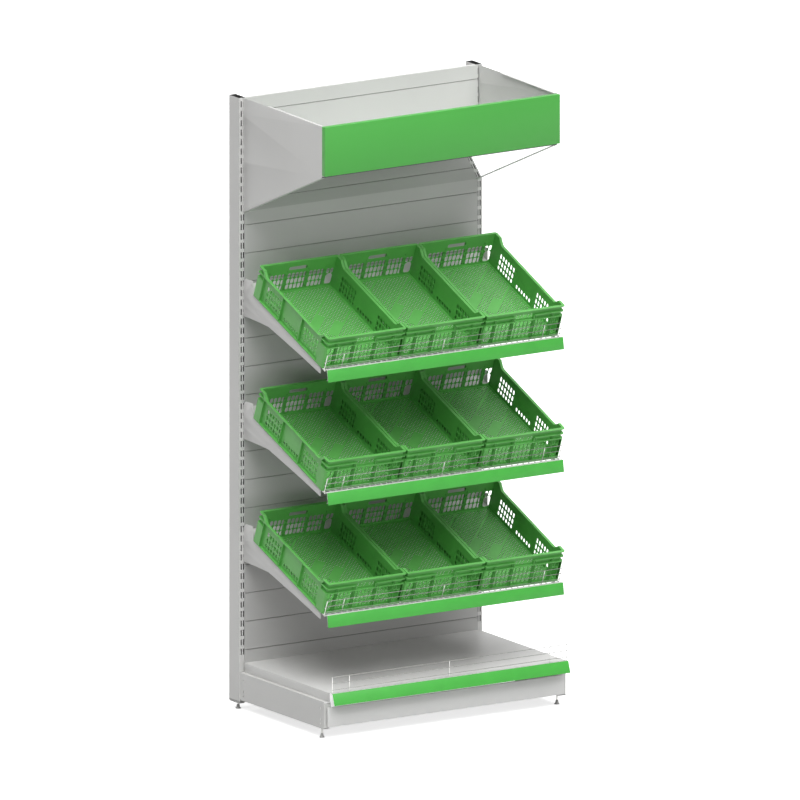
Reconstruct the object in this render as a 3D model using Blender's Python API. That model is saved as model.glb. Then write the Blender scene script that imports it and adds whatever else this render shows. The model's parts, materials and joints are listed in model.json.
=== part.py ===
# Single-bay produce display rack: slotted uprights, back panels, three sloping shelves of crates,
# a base shelf on two legs, and a canopy with a tilted mirror. Metres, +Z up, front towards -Y.

import math

import bmesh
import bpy
from mathutils import Matrix, Vector

# Overall sizes
bay_pitch = 1.250              # between the uprights' centre lines
rack_height = 2.800
rack_depth = 0.850             # wall line to the base ticket strip's foot

# Clearances
fit_gap = 0.0003               # between pieces that touch or rest
cut_overrun = 0.004            # how far a cutter runs past what it cuts

# Uprights and their slots
upright_width = 0.036
upright_depth = 0.085
upright_wall = 0.002
upright_radius = 0.004
slot_height = 0.028
slot_width = 0.0055
slot_rows = 64                 # slot pitches that the rack's height is divided into
slot_count = 59                # rows that are punched, from the top
slot_column_gap = 0.012        # between the two columns' centre lines
first_slot_drop = 0.0155       # from the upright's top to the first slot
slot_foot_margin = 0.0197      # from the floor to the lowest row

# End caps under the uprights
cap_foot_height = 0.028        # underside above the floor
cap_thickness = 0.013
cap_chamfer = 0.005
cap_plug_height = 0.030
cap_radius = 0.003

# Rails that tie the uprights behind the panels
rail_height = 0.040
rail_depth = 0.025
rail_sheet = 0.002
rail_setback = 0.020           # from the wall line
rail_end_margin = 0.055        # from the upright's ends to a rail's centre line

# Back panels
panel_sheet = 0.0012
panel_face = 0.090             # front face, from the wall line
panel_flange = 0.018
panel_seam = 0.0018
panel_lap = 0.0085             # how far a panel laps onto an upright
panel_slot_pitches = 3         # a panel's height, in slot pitches
top_panel_height = 0.066
panel_count = 21
panels_per_stack = 3

# Canopy
canopy_setback = 0.109         # fascia's back, from the rack's front
canopy_front_height = 0.2419   # from the top down to the plates' front lower corner
canopy_heel_drop = 0.007       # plates' rear lower corner, below the last hook's slot
canopy_sheet = 0.0015
canopy_lower_flange = 0.020
canopy_upper_flange = 0.012
canopy_front_flange = 0.015
canopy_flange_start = 0.283    # where the upper flange begins
fascia_inset = 0.0045          # ends, from the uprights' centre lines
fascia_drop = 0.005            # fascia's top and the plates' front corner, below the uprights'
fascia_height = 0.225
fascia_depth = 0.026
fascia_sheet = 0.0015
mirror_thickness = 0.004
canopy_hook_slots = (1, 6, 11)

# Corner reliefs between neighbouring flanges
flange_relief = 0.006

# Shelf brackets, heights from the shelf line
bracket_sheet = 0.003
bracket_ear_rear_height = 0.0077
bracket_ear_height = 0.0282
bracket_ear_rise_reach = 0.020
bracket_ear_reach = 0.080      # from the upright's face
bracket_heel_drop = 0.0055     # rear lower corner, below the last hook's slot
bracket_waist_share = 0.330    # along the plate, where its arch ends
bracket_waist_depth = 0.074    # below the shelf
bracket_neck_share = 0.685
bracket_neck_depth = 0.051
bracket_tip_setback = 0.0412   # from the shelf's front bend
bracket_tip_depth = 0.035
bracket_arch_steps = 8
hook_neck = 0.012
hook_drop = 0.008
hook_tongue = 0.003
bracket_hooks = 3

# Shelves
shelf_slope_degrees = 21.5
shelf_start = 0.0915           # wall line to the shelf line
shelf_slots = (20, 33, 46)     # slots that take the brackets' top hooks
shelf_rise = 0.0274            # shelf line above the top edge of its slot
shelf_setback = 0.0812         # front bend, from the rack's front
shelf_inset = 0.002            # ends, from the uprights' centre lines
shelf_sheet = 0.0012
shelf_rear_flange = 0.025
shelf_notch = 0.092            # rear corners cut away round the brackets' ears
nose_step_length = 0.0119      # up from the front bend
nose_step_degrees = 69.0
nose_length = 0.0095           # the lip over the step
nose_rise_degrees = 12.0
nose_height = 0.048
nose_lean_degrees = 8.7        # from upright, foot forward
nose_return = 0.012

# Ticket strips
strip_height = 0.0555
strip_stand = 0.003            # front surface, off the nose
strip_sheet = 0.0012

# Wire guards
guard_wire = 0.0036
guard_rail_wire = 0.003
guard_weld = 0.0004            # how deep crossing wires sink into each other
guard_height = 0.075
guard_rail_pitch = 0.029
guard_rail_count = 3
guard_inset = 0.004            # end posts, from the shelf's ends
guard_end_bay = 0.090
guard_setback = 0.0117         # behind the front bend
guard_sides = 6

# Crates
crate_height = 0.1545
crate_rim_drop = 0.026         # long sides below the raised corners
crate_start = 0.0853           # shelf line to the crate's rear rim
crate_front_gap = 0.0227       # front rim to the shelf's front bend
crate_end_overhang = 0.0046    # the row's share beyond the shelf's ends
crate_gap = 0.0024             # between neighbours
crate_radius = 0.012
crate_wall = 0.0025
crate_floor = 0.003
crate_skirt = 0.0095           # the floor's underside above the foot
crate_rim_overhang = 0.0105
crate_rim_thickness = 0.004
crate_draft = 0.0015
crate_step_start = 0.045       # from a crate's end to the step in its rim
crate_step_length = 0.030
crate_band_height = 0.1045     # top of the corner posts and of the ends' ledge
crate_ledge = 0.004
crate_flange = 0.004           # round the foot
crate_pocket_depth = 0.011     # walls between the posts, in from the rim
crate_side_post = 0.055        # along a long side
crate_end_post = 0.047
handhold_width = 0.098
handhold_height = 0.018
handhold_centre = 0.1215
handhold_radius = 0.006
crates_per_shelf = 3

# Base legs
leg_setback = 0.065            # leg's front, from the rack's front
leg_underside = 0.046
leg_height = 0.126
leg_sheet = 0.002
leg_inset = 0.0045             # outer face, in from the upright's outer face
leg_top_flange = 0.025
leg_bottom_flange = 0.036
leg_front_flange = 0.036
leg_rear_flange = 0.020
leg_slot_height = 0.011
leg_slot_width = 0.005
leg_hole_radius = 0.004
leg_slot_inset = 0.031         # from the leg's ends to its slots
leg_slot_drop = 0.034
leg_slot_pitch = 0.0494
leg_slots_per_end = 2
leg_hole_drop = 0.104
weld_nut_height = 0.008
weld_nut_radius = 0.0095
weld_nut_sides = 6

# Kick panel
kick_inset = 0.013             # ends, from the legs' outer faces
kick_depth = 0.010
kick_underside = 0.0546
kick_height = 0.090
kick_sheet = 0.0012

# Base shelf
deck_inset = 0.004             # ends, from the uprights' centre lines
deck_height = 0.215
deck_sheet = 0.0015
deck_side_setback = 0.045      # side flange's front, from the rack's front
deck_nose_height = 0.044
deck_nose_lean_degrees = 19.0
deck_nose_return = 0.015

# Levelling feet
pad_radius = 0.0125
pad_rim_height = 0.003
pad_neck_radius = 0.0065
pad_shoulder_radius = 0.0085
pad_shoulder_height = 0.006
pad_height = 0.019
stud_radius = 0.004
stud_length = 0.052
stud_chamfer = 0.001
foot_segments = 12
hole_segments = 12
rear_foot_setback = 0.050      # from the wall line
front_foot_setback = 0.044     # from the leg's front

half_bay = bay_pitch / 2
inner_column = half_bay - slot_column_gap / 2
upright_inner_face = half_bay - upright_width / 2
upright_outer_face = half_bay + upright_width / 2
leg_outer_face = upright_outer_face - leg_inset
plate_rear = upright_depth + fit_gap
panel_front_clear = panel_face + fit_gap
side_names = {-1: "left", 1: "right"}

slot_pitch = (rack_height - first_slot_drop - slot_foot_margin) / slot_rows
canopy_reach = rack_depth - canopy_setback
canopy_front_foot = rack_height - canopy_front_height
fascia_top = rack_height - fascia_drop
fascia_half_length = half_bay - fascia_inset

slope = math.radians(shelf_slope_degrees)
shelf_front = rack_depth - shelf_setback
shelf_length = (shelf_front - shelf_start) / math.cos(slope)
shelf_half_width = half_bay - shelf_inset
nose_face_down = 90 - shelf_slope_degrees - nose_lean_degrees
strip_half_length = shelf_half_width
guard_half_length = shelf_half_width - guard_inset
crate_length = shelf_length - crate_start - crate_front_gap
crate_pitch = 2 * (shelf_half_width + crate_end_overhang) / crates_per_shelf
crate_width = crate_pitch - crate_gap

leg_front = rack_depth - leg_setback
kick_face = leg_front + kick_depth
kick_half_length = leg_outer_face - kick_inset
deck_half_width = half_bay - deck_inset
deck_side_reach = rack_depth - deck_side_setback


def remove_old_objects():
    for old in list(bpy.data.objects):
        bpy.data.objects.remove(old, do_unlink=True)


def finish(name, colour, roughness, metallic=0.0):
    material = bpy.data.materials.new(name)
    material.use_nodes = True
    shader = material.node_tree.nodes["Principled BSDF"]
    shader.inputs["Base Color"].default_value = (*colour, 1.0)
    shader.inputs["Roughness"].default_value = roughness
    shader.inputs["Metallic"].default_value = metallic
    material.diffuse_color = (*colour, 1.0)
    return material


def empty(name, parent=None, x=0.0, forward=0.0, up=0.0, tilt=0.0):
    """Everything below is placed in a frame like this one: across, forward of the wall, up."""
    frame = bpy.data.objects.new(name, None)
    frame.location = spot(x, forward, up)
    frame.rotation_euler.x = tilt
    frame.parent = parent
    bpy.context.collection.objects.link(frame)
    return frame


def spot(x, forward, up):
    return Vector((x, -forward, up))


def slot_top(number):
    return rack_height - first_slot_drop - number * slot_pitch


canopy_rear_foot = slot_top(canopy_hook_slots[-1]) - slot_height - canopy_heel_drop
canopy_rise = math.atan2(canopy_front_foot - canopy_rear_foot, canopy_reach - plate_rear)


def place(name, mesh, material, parent, location=None):
    """One object on a mesh of its own, so that each sub-part keeps its own material."""
    piece = bpy.data.objects.new(name, mesh.copy())
    piece.data.materials.clear()
    piece.data.materials.append(material)
    piece.location = location or Vector()
    piece.parent = parent
    bpy.context.collection.objects.link(piece)
    return piece


def loose_object(name, bm):
    mesh = bpy.data.meshes.new(name)
    bm.to_mesh(mesh)
    bm.free()
    piece = bpy.data.objects.new(name, mesh)
    bpy.context.collection.objects.link(piece)
    return piece


def solid_object(name, bm):
    bmesh.ops.recalc_face_normals(bm, faces=bm.faces)
    return loose_object(name, bm)


def baked(piece, smooth_degrees=None):
    """The piece's mesh with its modifiers in it; the working object goes."""
    graph = bpy.context.evaluated_depsgraph_get()
    mesh = bpy.data.meshes.new_from_object(piece.evaluated_get(graph))
    mesh.name = piece.name
    bpy.data.objects.remove(piece, do_unlink=True)
    if smooth_degrees:
        mesh.shade_smooth()
        mesh.set_sharp_from_angle(angle=math.radians(smooth_degrees))
    return mesh


def combine(target, other, operation):
    other.hide_render = True
    other.display_type = "WIRE"
    modifier = target.modifiers.new(operation.title(), "BOOLEAN")
    modifier.operation = operation
    modifier.solver = "EXACT"
    modifier.object = other


def baked_with(target, others, operation, smooth_degrees=None):
    for other in others:
        combine(target, other, operation)
    mesh = baked(target, smooth_degrees)
    for other in others:
        bpy.data.objects.remove(other, do_unlink=True)
    return mesh


def box(name, x, forward, up):
    """A box between the two values of each pair."""
    bm = bmesh.new()
    bmesh.ops.create_cube(bm, size=1.0)
    low = spot(min(x), max(forward), min(up))
    high = spot(max(x), min(forward), max(up))
    bmesh.ops.scale(bm, vec=high - low, verts=bm.verts)
    bmesh.ops.translate(bm, vec=(high + low) / 2, verts=bm.verts)
    return solid_object(name, bm)


def cylinder(name, radius, centre, length, axis, segments):
    bm = bmesh.new()
    bmesh.ops.create_cone(
        bm, cap_ends=True, segments=segments, radius1=radius, radius2=radius, depth=length
    )
    flat_ahead = Matrix.Rotation(math.pi / segments, 3, "Z")
    bmesh.ops.rotate(bm, matrix=flat_ahead, verts=bm.verts)
    turn = Vector((0, 0, 1)).rotation_difference(Vector(axis))
    bmesh.ops.rotate(bm, matrix=turn.to_matrix(), verts=bm.verts)
    bmesh.ops.translate(bm, vec=centre, verts=bm.verts)
    return solid_object(name, bm)


def prism(name, outline, half_width):
    """A closed outline of (forward, up) points, extruded across."""
    bm = bmesh.new()
    face = bm.faces.new([bm.verts.new(spot(-half_width, f, u)) for f, u in outline])
    grown = bmesh.ops.extrude_face_region(bm, geom=[face])
    moved = [item for item in grown["geom"] if isinstance(item, bmesh.types.BMVert)]
    bmesh.ops.translate(bm, vec=(2 * half_width, 0, 0), verts=moved)
    return solid_object(name, bm)


def lofted(name, rings, closed=False):
    """Rings of equal counts, joined one to the next; open ends are filled."""
    bm = bmesh.new()
    loops = [[bm.verts.new(point) for point in ring] for ring in rings]
    pairs = list(zip(loops, loops[1:]))
    if closed:
        pairs.append((loops[-1], loops[0]))
    else:
        bm.faces.new(loops[0])
        bm.faces.new(loops[-1])
    for below, above in pairs:
        for i in range(len(below)):
            j = (i + 1) % len(below)
            bm.faces.new((below[i], below[j], above[j], above[i]))
    return solid_object(name, bm)


def turned(name, profile, segments):
    """A profile of (radius, height) points, from axis to axis, turned about Z."""
    bm = bmesh.new()
    line = [bm.verts.new((radius, 0, height)) for radius, height in profile]
    edges = [bm.edges.new(pair) for pair in zip(line, line[1:])]
    bmesh.ops.spin(
        bm, geom=line + edges, cent=(0, 0, 0), axis=(0, 0, 1), angle=math.tau, steps=segments,
        use_merge=True,
    )
    bmesh.ops.remove_doubles(bm, verts=bm.verts, dist=fit_gap / 10)
    return solid_object(name, bm)


def rounded_rectangle(half_x, half_y, radius, height, steps):
    ring = []
    corners = ((1, 1), (-1, 1), (-1, -1), (1, -1))
    for quarter, (sign_x, sign_y) in enumerate(corners):
        for step in range(steps + 1):
            angle = (quarter + step / steps) * math.pi / 2
            x = sign_x * (half_x - radius) + radius * math.cos(angle)
            y = sign_y * (half_y - radius) + radius * math.sin(angle)
            ring.append(Vector((x, y, height)))
    return ring


def thickened(name, bm, lead_face, outward, sheet):
    """An open surface given a thickness on its inner side."""
    bm.normal_update()
    bmesh.ops.recalc_face_normals(bm, faces=bm.faces)
    if lead_face.normal.dot(outward) < 0:
        bmesh.ops.reverse_faces(bm, faces=bm.faces)
    piece = loose_object(name, bm)
    solidify = piece.modifiers.new("Sheet", "SOLIDIFY")
    solidify.thickness = sheet
    solidify.offset = -1.0
    solidify.use_even_offset = True
    solidify.use_quality_normals = True
    return piece


def folded_sheet(name, outline, half_width, sheet, lead, outward, side_flange=None):
    """A bent strip of (forward, up) points, extruded across, its lead face looking outward.
    side_flange is a depth: the lead face's two ends are turned by it."""
    bm = bmesh.new()
    left = [bm.verts.new(spot(-half_width, f, u)) for f, u in outline]
    right = [bm.verts.new(spot(half_width, f, u)) for f, u in outline]
    faces = []
    for i in range(len(outline) - 1):
        faces.append(bm.faces.new((left[i], left[i + 1], right[i + 1], right[i])))
    if side_flange:
        for row in (left, right):
            edge = bm.edges.get((row[lead], row[lead + 1]))
            grown = bmesh.ops.extrude_edge_only(bm, edges=[edge])
            moved = [item for item in grown["geom"] if isinstance(item, bmesh.types.BMVert)]
            bmesh.ops.translate(bm, vec=-side_flange * outward, verts=moved)
    return thickened(name, bm, faces[lead], outward, sheet)


def flanged_plate(name, outline, flanges, side, outer_face, sheet):
    """An upright plate of (forward, up) points on one side of the rack. flanges maps an edge's
    number to its width, and each is turned in, clear of the corners."""
    points = []
    turned_edges = []
    for number, start in enumerate(outline):
        end = outline[(number + 1) % len(outline)]
        points.append(start)
        if number in flanges:
            along = (Vector(end) - Vector(start)).normalized() * flange_relief
            turned_edges.append((len(points), flanges[number]))
            points.append(tuple(Vector(start) + along))
            points.append(tuple(Vector(end) - along))
    bm = bmesh.new()
    verts = [bm.verts.new(spot(side * outer_face, f, u)) for f, u in points]
    plate = bm.faces.new(verts)
    for first, width in turned_edges:
        edge = bm.edges.get((verts[first], verts[first + 1]))
        grown = bmesh.ops.extrude_edge_only(bm, edges=[edge])
        moved = [item for item in grown["geom"] if isinstance(item, bmesh.types.BMVert)]
        bmesh.ops.translate(bm, vec=(-side * width, 0, 0), verts=moved)
    return thickened(name, bm, plate, Vector((side, 0, 0)), sheet)


def hook_outline(slot_numbers):
    """Points of hooks down a plate's rear edge, one in each slot, listed from the top."""
    neck_line = plate_rear
    tongue_front = upright_depth - upright_wall - fit_gap
    tongue_back = tongue_front - hook_tongue
    points = []
    for number in slot_numbers:
        sill = slot_top(number) - slot_height + fit_gap
        points += [
            (neck_line, sill + hook_neck),
            (tongue_back, sill + hook_neck),
            (tongue_back, sill - hook_drop),
            (tongue_front, sill - hook_drop),
            (tongue_front, sill),
            (neck_line, sill),
        ]
    return points


def make_uprights(wall, paint):
    cap_top = cap_foot_height + cap_thickness
    half_depth = upright_depth / 2
    outer = (upright_width / 2, half_depth, upright_radius)
    inner = (outer[0] - upright_wall, outer[1] - upright_wall, upright_radius - upright_wall)
    foot = cap_top + fit_gap
    rings = [
        rounded_rectangle(*outer, foot, 2),
        rounded_rectangle(*outer, rack_height, 2),
        rounded_rectangle(*inner, rack_height, 2),
        rounded_rectangle(*inner, foot, 2),
    ]
    tube = lofted("upright", rings, closed=True)
    slot = box(
        "slot",
        (-slot_column_gap / 2 - slot_width / 2, -slot_column_gap / 2 + slot_width / 2),
        (half_depth - upright_wall - cut_overrun, half_depth + cut_overrun),
        (slot_top(0) - slot_height, slot_top(0)),
    )
    rows = slot.modifiers.new("Rows", "ARRAY")
    rows.use_relative_offset = False
    rows.use_constant_offset = True
    rows.constant_offset_displace = (0, 0, -slot_pitch)
    rows.count = slot_count
    columns = slot.modifiers.new("Columns", "ARRAY")
    columns.use_relative_offset = False
    columns.use_constant_offset = True
    columns.constant_offset_displace = (slot_column_gap, 0, 0)
    columns.count = 2
    mesh = baked_with(tube, [slot], "DIFFERENCE", 30)
    for side, side_name in side_names.items():
        place(f"upright_{side_name}", mesh, paint, wall, spot(side * half_bay, half_depth, 0))


def make_caps(wall, plastic):
    half_x = upright_width / 2
    half_y = upright_depth / 2
    plug_x = half_x - upright_wall - fit_gap
    plug_y = half_y - upright_wall - fit_gap
    top = cap_foot_height + cap_thickness
    rings = [
        rounded_rectangle(
            half_x - cap_chamfer, half_y - cap_chamfer, cap_radius, cap_foot_height, 2
        ),
        rounded_rectangle(half_x, half_y, upright_radius, cap_foot_height + cap_chamfer, 2),
        rounded_rectangle(half_x, half_y, upright_radius, top, 2),
        rounded_rectangle(plug_x, plug_y, cap_radius, top, 2),
        rounded_rectangle(plug_x, plug_y, cap_radius, top + cap_plug_height, 2),
    ]
    cap = lofted("cap", rings)
    height = cap_thickness + cap_plug_height
    bore = cylinder(
        "bore",
        stud_radius + fit_gap,
        spot(0, rear_foot_setback - half_y, cap_foot_height + height / 2),
        height + 2 * cut_overrun,
        (0, 0, 1),
        hole_segments,
    )
    mesh = baked_with(cap, [bore], "DIFFERENCE", 30)
    for side, side_name in side_names.items():
        place(f"upright_cap_{side_name}", mesh, plastic, wall, spot(side * half_bay, half_y, 0))


def make_rails(wall, paint):
    half_height = rail_height / 2
    front = rail_setback + rail_depth
    outline = [
        (front, half_height),
        (rail_setback, half_height),
        (rail_setback, -half_height),
        (front, -half_height),
    ]
    half_width = upright_inner_face - fit_gap
    rail = folded_sheet("rail", outline, half_width, rail_sheet, 1, Vector((0, 1, 0)))
    mesh = baked(rail)
    upright_foot = cap_foot_height + cap_thickness
    heights = {"top": rack_height - rail_end_margin, "bottom": upright_foot + rail_end_margin}
    for end, height in heights.items():
        place(f"tie_rail_{end}", mesh, paint, wall, spot(0, 0, height))


def panel_stack(heights):
    """Neighbouring panels, their turned edges meeting behind each seam. Heights from the top."""
    back = panel_face - panel_flange
    outline = []
    top = 0.0
    for height in heights:
        foot = top - height + panel_seam
        outline += [(back, top), (panel_face, top), (panel_face, foot), (back, foot)]
        top -= height
    half_width = upright_inner_face + panel_lap
    stack = folded_sheet("stack", outline, half_width, panel_sheet, 1, Vector((0, -1, 0)))
    cutters = []
    for side in side_names:
        cutters.append(
            box(
                "lap",
                (side * (upright_inner_face - fit_gap), side * (half_width + cut_overrun)),
                (back - cut_overrun, panel_face - panel_sheet),
                (top - cut_overrun, cut_overrun),
            )
        )
    return baked_with(stack, cutters, "DIFFERENCE")


def make_panels(wall, paint):
    panel_height = panel_slot_pitches * slot_pitch
    full_stack = panel_stack([panel_height] * panels_per_stack)
    top_stack = panel_stack([top_panel_height] + [panel_height] * (panels_per_stack - 1))
    stack_count = panel_count // panels_per_stack
    top = rack_height
    place(f"back_panels_{stack_count}", top_stack, paint, wall, spot(0, 0, top))
    top -= top_panel_height + (panels_per_stack - 1) * panel_height
    for number in range(stack_count - 1, 0, -1):
        place(f"back_panels_{number}", full_stack, paint, wall, spot(0, 0, top))
        top -= panels_per_stack * panel_height


def canopy_line(forward):
    """Height of the canopy plates' lower edge."""
    return canopy_front_foot - (canopy_reach - forward) * math.tan(canopy_rise)


def make_canopy(wall, paint, green, mirror_finish):
    outer_face = inner_column + slot_width / 2 - fit_gap
    outline = [
        (plate_rear, rack_height),
        (canopy_flange_start, rack_height),
        (canopy_reach, fascia_top),
        (canopy_reach, canopy_line(canopy_reach)),
        (plate_rear, canopy_line(plate_rear)),
    ]
    hooks = list(reversed(hook_outline(canopy_hook_slots)))
    flanges = {1: canopy_upper_flange, 2: canopy_front_flange, 3: canopy_lower_flange}
    for side, side_name in side_names.items():
        plate = flanged_plate("plate", outline + hooks, flanges, side, outer_face, canopy_sheet)
        place(f"canopy_side_{side_name}", baked(plate), paint, wall)
    make_fascia(wall, green)
    lift = (canopy_sheet + fit_gap) / math.cos(canopy_rise)
    glass = mirror_thickness / math.cos(canopy_rise)
    rear = panel_front_clear
    front = canopy_reach - canopy_sheet - fit_gap
    outline = [
        (rear, canopy_line(rear) + lift),
        (front, canopy_line(front) + lift),
        (front, canopy_line(front) + lift + glass),
        (rear, canopy_line(rear) + lift + glass),
    ]
    mirror = prism("mirror", outline, outer_face - canopy_sheet - fit_gap)
    place("canopy_mirror", baked(mirror), mirror_finish, wall)


def make_fascia(wall, green):
    """A shallow pan, its open side on the canopy plates."""
    bm = bmesh.new()
    front = canopy_reach + fascia_depth
    foot = fascia_top - fascia_height
    corners = [
        (-fascia_half_length, foot),
        (fascia_half_length, foot),
        (fascia_half_length, fascia_top),
        (-fascia_half_length, fascia_top),
    ]
    face = bm.faces.new([bm.verts.new(spot(x, front, up)) for x, up in corners])
    grown = bmesh.ops.extrude_edge_only(bm, edges=list(bm.edges))
    moved = [item for item in grown["geom"] if isinstance(item, bmesh.types.BMVert)]
    bmesh.ops.translate(bm, vec=(0, fascia_depth - fit_gap, 0), verts=moved)
    pan = thickened("fascia", bm, face, Vector((0, -1, 0)), fascia_sheet)
    place("canopy_fascia", baked(pan), green, wall)


def bracket_mesh():
    """An arched plate in the wall's frame, for the highest shelf."""
    top_slot = shelf_slots[0]
    line_height = slot_top(top_slot) + shelf_rise
    tray_underside = (shelf_sheet + fit_gap) / math.cos(slope)

    def shelf_underside(forward):
        return line_height - (forward - shelf_start) * math.tan(slope) - tray_underside

    ear_front = plate_rear + bracket_ear_reach
    tip = shelf_front - bracket_tip_setback
    waist = plate_rear + bracket_waist_share * (tip - plate_rear)
    neck = plate_rear + bracket_neck_share * (tip - plate_rear)
    arch_start = (waist, shelf_underside(waist) - bracket_waist_depth)
    slots = range(top_slot, top_slot + bracket_hooks)
    foot = (plate_rear, slot_top(slots[-1]) - slot_height - bracket_heel_drop)
    arch_rise = ((plate_rear + waist) / 2, foot[1])
    outline = [
        (plate_rear, line_height + bracket_ear_rear_height),
        (plate_rear + bracket_ear_rise_reach, line_height + bracket_ear_height),
        (ear_front, line_height + bracket_ear_height),
        (ear_front, shelf_underside(ear_front)),
        (tip, shelf_underside(tip)),
        (tip, shelf_underside(tip) - bracket_tip_depth),
        (neck, shelf_underside(neck) - bracket_neck_depth),
        arch_start,
    ]
    for step in range(1, bracket_arch_steps):
        share = step / bracket_arch_steps
        near = Vector(arch_start).lerp(Vector(arch_rise), share)
        far = Vector(arch_rise).lerp(Vector(foot), share)
        outline.append(tuple(near.lerp(far, share)))
    outline.append(foot)
    outline += reversed(hook_outline(slots))
    plate = prism("bracket", outline, bracket_sheet / 2)
    return baked(plate)


def make_brackets(wall, paint):
    mesh = bracket_mesh()
    for number, slot in enumerate(shelf_slots, start=1):
        drop = (slot - shelf_slots[0]) * slot_pitch
        for side, side_name in side_names.items():
            name = f"shelf_bracket_{number}_{side_name}"
            place(name, mesh, paint, wall, spot(side * inner_column, 0, -drop))


def turn(start, length, degrees_down):
    """The next bend of a folded strip: degrees_down from the forward direction."""
    angle = math.radians(degrees_down)
    return (start[0] + length * math.cos(angle), start[1] - length * math.sin(angle))


def nose_line():
    """The shelf's front, in its own frame: its bend, up the step, and over the lip."""
    bend = (shelf_length, 0.0)
    step_top = turn(bend, nose_step_length, -nose_step_degrees)
    return bend, step_top, turn(step_top, nose_length, -nose_rise_degrees)


def tray_mesh():
    """The shelf in its own tilted frame: along the slope, and square to it."""
    rear_foot = turn((0.0, 0.0), shelf_rear_flange, 90 - shelf_slope_degrees)
    bend, step_top, nose_top = nose_line()
    nose_foot = turn(nose_top, nose_height, nose_face_down)
    nose_end = turn(nose_foot, -nose_return, nose_face_down - 90)
    outline = [rear_foot, (0.0, 0.0), bend, step_top, nose_top, nose_foot, nose_end]
    tray = folded_sheet(
        "tray", outline, shelf_half_width, shelf_sheet, 1, Vector((0, 0, 1))
    )
    notch_inner = inner_column - bracket_sheet / 2 - fit_gap
    notches = []
    for side in side_names:
        notches.append(
            box(
                "notch",
                (side * notch_inner, side * (shelf_half_width + cut_overrun)),
                (-cut_overrun, shelf_notch),
                (-shelf_rear_flange - cut_overrun, cut_overrun),
            )
        )
    return baked_with(tray, notches, "DIFFERENCE")


def strip_mesh(nose_top, face_down):
    """A ticket strip on a nose: its lips reach back to the nose's face."""
    out = (math.sin(math.radians(face_down)), math.cos(math.radians(face_down)))
    base = (nose_top[0] + out[0] * fit_gap, nose_top[1] + out[1] * fit_gap)
    front = (base[0] + out[0] * strip_stand, base[1] + out[1] * strip_stand)
    foot = turn(front, strip_height, face_down)
    foot_lip = turn(foot, -strip_stand, face_down - 90)
    outline = [base, front, foot, foot_lip]
    outward = Vector((0, -out[0], out[1]))
    strip = folded_sheet("strip", outline, strip_half_length, strip_sheet, 1, outward)
    return baked(strip)


def guard_mesh(feet, rail_heights):
    """Upright wires welded to long ones. Heights are above the sheet that it stands on."""
    posts = []
    top = rail_heights[-1]
    for x in feet:
        centre = Vector((x, 0, (top + fit_gap) / 2))
        wire = cylinder("post", guard_wire / 2, centre, top - fit_gap, (0, 0, 1), guard_sides)
        posts.append(wire)
    rails = []
    half_angle = math.pi / guard_sides
    ahead = (guard_wire + guard_rail_wire) / 2 * math.cos(half_angle) - guard_weld
    for height in rail_heights:
        centre = spot(0, ahead, height)
        length = 2 * guard_half_length + guard_wire
        rails.append(
            cylinder("rail", guard_rail_wire / 2, centre, length, (1, 0, 0), guard_sides)
        )
    return baked_with(rails[0], rails[1:] + posts, "UNION", 40)


def crate_ring(inset, raised, low):
    """A ring round the crate: its inset from the rim, its height at the corners and ends, and
    its height along the low long sides."""
    half_x = crate_width / 2 - inset
    half_y = crate_length / 2 - inset
    radius = max(crate_radius - inset, crate_wall)
    corners = rounded_rectangle(half_x, half_y, radius, raised, 1)
    step_start = crate_length / 2 - crate_step_start
    step_end = step_start - crate_step_length
    left = [
        Vector((-half_x, step_start, raised)),
        Vector((-half_x, step_end, low)),
        Vector((-half_x, -step_end, low)),
        Vector((-half_x, -step_start, raised)),
    ]
    right = [Vector((-point.x, point.y, point.z)) for point in reversed(left)]
    return corners[:4] + left + corners[4:] + right


def crate_pockets():
    """What is cut from outside between the corner posts, above the foot's flange."""
    side_reach = crate_length / 2 - crate_side_post
    end_reach = crate_width / 2 - crate_end_post
    pockets = []
    for side in side_names:
        pockets.append(
            box(
                "side pocket",
                (side * (crate_width / 2 - crate_pocket_depth), side * crate_width),
                (-side_reach, side_reach),
                (crate_flange, crate_band_height + cut_overrun),
            )
        )
        pockets.append(
            box(
                "end pocket",
                (-end_reach, end_reach),
                (side * (crate_length / 2 - crate_pocket_depth), side * crate_length),
                (crate_flange, crate_band_height - crate_ledge),
            )
        )
    return pockets


def crate_mesh():
    low = crate_height - crate_rim_drop
    raised_lip = crate_height - crate_rim_thickness
    low_lip = low - crate_rim_thickness
    inner_top = crate_rim_overhang + crate_wall
    inner_foot = inner_top + crate_draft
    floor_top = crate_skirt + crate_floor
    rings = [
        crate_ring(inner_foot, crate_skirt, crate_skirt),
        crate_ring(inner_foot, 0.0, 0.0),
        crate_ring(0.0, 0.0, 0.0),
        crate_ring(0.0, crate_band_height, crate_band_height),
        crate_ring(crate_rim_overhang, crate_band_height, crate_band_height),
        crate_ring(crate_rim_overhang, raised_lip, low_lip),
        crate_ring(0.0, raised_lip, low_lip),
        crate_ring(0.0, crate_height, low),
        crate_ring(inner_top, crate_height, low),
        crate_ring(inner_foot, floor_top, floor_top),
    ]
    crate = lofted("crate", rings)
    half_length = crate_length / 2 + cut_overrun
    ring = rounded_rectangle(
        handhold_width / 2, handhold_height / 2, handhold_radius, 0.0, 1
    )
    ends = []
    for y in (-half_length, half_length):
        ends.append([Vector((point.x, y, handhold_centre + point.y)) for point in ring])
    handholds = lofted("handholds", ends)
    return baked_with(crate, [handholds] + crate_pockets(), "DIFFERENCE", 30)


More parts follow.
